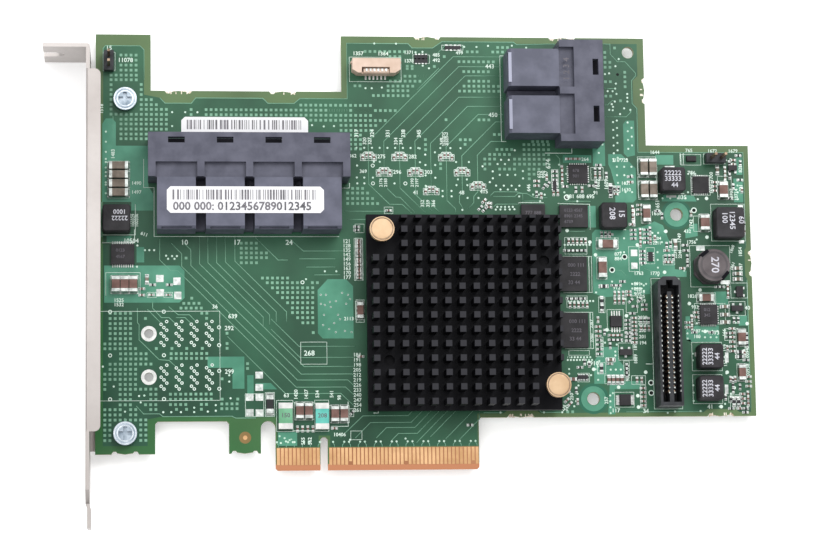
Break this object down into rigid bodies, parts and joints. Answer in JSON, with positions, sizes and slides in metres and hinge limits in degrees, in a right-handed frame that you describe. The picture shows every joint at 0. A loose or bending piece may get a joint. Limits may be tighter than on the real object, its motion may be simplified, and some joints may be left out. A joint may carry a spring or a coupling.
{
  "type": "raid controller card",
  "caption": "Storage controller expansion card with a slot bracket, pin-fin heatsink on push pins, rows of internal cable sockets, an edge connector and a stacking connector.",
  "frame": {"origin": "centre of the bounding box's bottom face, under the card as it lies with its component side up; the bracket's lower long edge and the push pins' barbs are at Z = 0", "axes": "+X from the bracket towards the board's far end, +Y from the edge connector towards the card's top edge, +Z out of the component side"},
  "size_m": [0.1806, 0.1256, 0.0184],
  "materials": {
    "board": "semi-gloss solder mask",
    "contact_gold": "polished",
    "bracket_steel": "satin nickel plating",
    "screw_steel": "polished",
    "heatsink_black": "satin black anodising",
    "pin_brass": "satin",
    "spring_steel": "bright wire",
    "package_laminate": "matte",
    "thermal_grey": "matte",
    "chip_black": "fine matte",
    "socket_plastic": "matte",
    "module_plastic": "semi-matte",
    "connector_beige": "matte",
    "header_plastic": "matte",
    "choke_grey": "fine matte",
    "ferrite": "matte",
    "ceramic_tan": "matte",
    "ceramic_brown": "matte",
    "resistor_black": "matte",
    "tin": "bright tin",
    "fuse_green": "matte",
    "fuse_teal": "matte",
    "label_white": "matte"
  },
  "bodies": {
    "root": {"alarm_header_body": "header_plastic", "alarm_header_pins": "contact_gold", "bracket": "bracket_steel", "bracket_screw_lower": "screw_steel", "bracket_screw_upper": "screw_steel", "buffer_chip": "chip_black", "cable_socket_contacts": "tin", "cable_socket_housing": "connector_beige", "capacitors_brown": "ceramic_brown", "capacitors_tan": "ceramic_tan", "choke_bracket_side": "choke_grey", "choke_large": "choke_grey", "choke_lower_one": "choke_grey", "choke_lower_two": "choke_grey", "choke_middle": "choke_grey", "choke_upper": "choke_grey", "circuit_board": "board", "clock_chip": "chip_black", "controller_package": "package_laminate", "driver_chip": "chip_black", "drum_choke_base": "ferrite", "drum_choke_core": "ferrite", "dual_socket_contacts": "contact_gold", "dual_socket_housing": "socket_plastic", "dual_terminal_modules": "module_plastic", "edge_contacts_back": "contact_gold", "edge_contacts_front": "contact_gold", "flash_chip": "chip_black", "fuse_green": "fuse_green", "fuse_teal": "fuse_teal", "fuse_terminals": "tin", "heatsink": "heatsink_black", "jumper_header_body": "header_plastic", "jumper_header_pins": "contact_gold", "label_large": "label_white", "label_small": "label_white", "logic_chip": "chip_black", "memory_chips": "chip_black", "package_leads": "tin", "power_controller": "chip_black", "push_pin_lower": "pin_brass", "push_pin_spring_lower": "spring_steel", "push_pin_spring_upper": "spring_steel", "push_pin_upper": "pin_brass", "quad_socket_contacts": "contact_gold", "quad_socket_housing": "socket_plastic", "quad_terminal_modules": "module_plastic", "regulator_bracket_side": "chip_black", "regulator_upper": "chip_black", "resistor_arrays": "resistor_black", "small_capacitors": "ceramic_brown", "small_resistors": "resistor_black", "stacking_connector": "header_plastic", "stacking_connector_contacts": "contact_gold", "status_diode": "chip_black", "thermal_pad": "thermal_grey", "transistors": "chip_black"}
  },
  "joints": []
}
